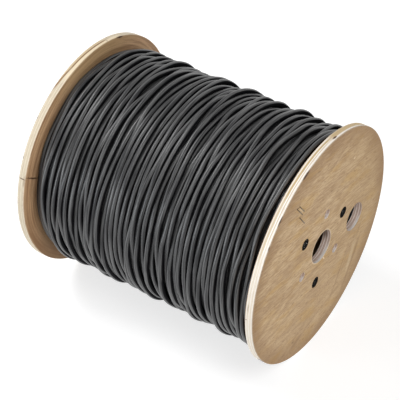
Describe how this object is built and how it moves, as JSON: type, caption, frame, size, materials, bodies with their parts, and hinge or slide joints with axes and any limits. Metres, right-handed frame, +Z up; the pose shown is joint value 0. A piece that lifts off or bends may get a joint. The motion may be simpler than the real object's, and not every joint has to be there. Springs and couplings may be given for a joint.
{
  "type": "wooden cable drum",
  "caption": "Plywood cable drum on its rims: round drilled flanges with a spindle bore, clamped on a barrel by tie rods and wound full with black rubber cable.",
  "frame": {"origin": "centre of the drum's length and width, on the floor under its rims", "axes": "+X along the drum's axis to the near end, +Y across, +Z up"},
  "size_m": [0.497, 0.45, 0.4499],
  "materials": {
    "plywood": "bare rotary-cut veneer",
    "fibreboard": "bare wound board",
    "cable_sheath": "matte",
    "rod_steel": "plain rolled thread",
    "black_steel": "black, semi-matte"
  },
  "bodies": {
    "root": {"near_flange": "plywood", "far_flange": "plywood", "barrel": "fibreboard", "cable_winding": "cable_sheath", "tie_rod_1": "rod_steel", "tie_rod_2": "rod_steel", "tie_rod_3": "rod_steel", "near_washer_1": "black_steel", "near_washer_2": "black_steel", "near_washer_3": "black_steel", "near_nut_1": "black_steel", "near_nut_2": "black_steel", "near_nut_3": "black_steel", "far_washer_1": "black_steel", "far_washer_2": "black_steel", "far_washer_3": "black_steel", "far_nut_1": "black_steel", "far_nut_2": "black_steel", "far_nut_3": "black_steel"}
  },
  "joints": []
}
